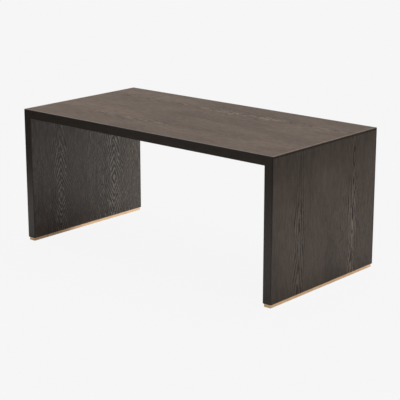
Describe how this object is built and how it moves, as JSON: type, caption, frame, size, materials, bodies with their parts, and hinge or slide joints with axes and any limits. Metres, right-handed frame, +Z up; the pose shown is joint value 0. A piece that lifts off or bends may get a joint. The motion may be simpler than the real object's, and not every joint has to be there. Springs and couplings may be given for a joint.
{
  "type": "coffee table",
  "caption": "Low rectangular waterfall coffee table: a mitred top on slab legs in dark stained wood veneer, with slim copper-toned base plates.",
  "frame": {"origin": "on the floor, under the middle of the table: the centre of the bounding box's base", "axes": "+X along the table's length towards its right leg, +Y from front to back, +Z up"},
  "size_m": [1, 0.5, 0.435],
  "materials": {
    "stained_veneer": "open-pored flat-sawn veneer, dark grey-brown stain, matt lacquer",
    "stained_lipping": "solid wood edge, dark grey-brown stain, matt lacquer",
    "core_board": "raw fibreboard",
    "tongue_plywood": "raw birch plywood",
    "copper_toned_plate": "satin copper-toned plating",
    "zinc_screw": "bright zinc plating",
    "felt": "pressed wool felt"
  },
  "bodies": {
    "root": {"top_core": "core_board", "left_leg_core": "core_board", "right_leg_core": "core_board", "left_mitre_tongue": "tongue_plywood", "right_mitre_tongue": "tongue_plywood", "left_base_plate": "copper_toned_plate", "right_base_plate": "copper_toned_plate", "left_base_screws": "zinc_screw", "right_base_screws": "zinc_screw", "left_felt_pads": "felt", "right_felt_pads": "felt", "top_face_leaf_front": "stained_veneer", "top_face_leaf_back": "stained_veneer", "top_under_leaf_front": "stained_veneer", "top_under_leaf_back": "stained_veneer", "left_leg_outer_leaf_front": "stained_veneer", "left_leg_outer_leaf_back": "stained_veneer", "left_leg_inner_leaf_front": "stained_veneer", "left_leg_inner_leaf_back": "stained_veneer", "right_leg_outer_leaf_front": "stained_veneer", "right_leg_outer_leaf_back": "stained_veneer", "right_leg_inner_leaf_front": "stained_veneer", "right_leg_inner_leaf_back": "stained_veneer", "top_lipping_front": "stained_lipping", "top_lipping_back": "stained_lipping", "left_leg_lipping_front": "stained_lipping", "left_leg_lipping_back": "stained_lipping", "right_leg_lipping_front": "stained_lipping", "right_leg_lipping_back": "stained_lipping"}
  },
  "joints": []
}
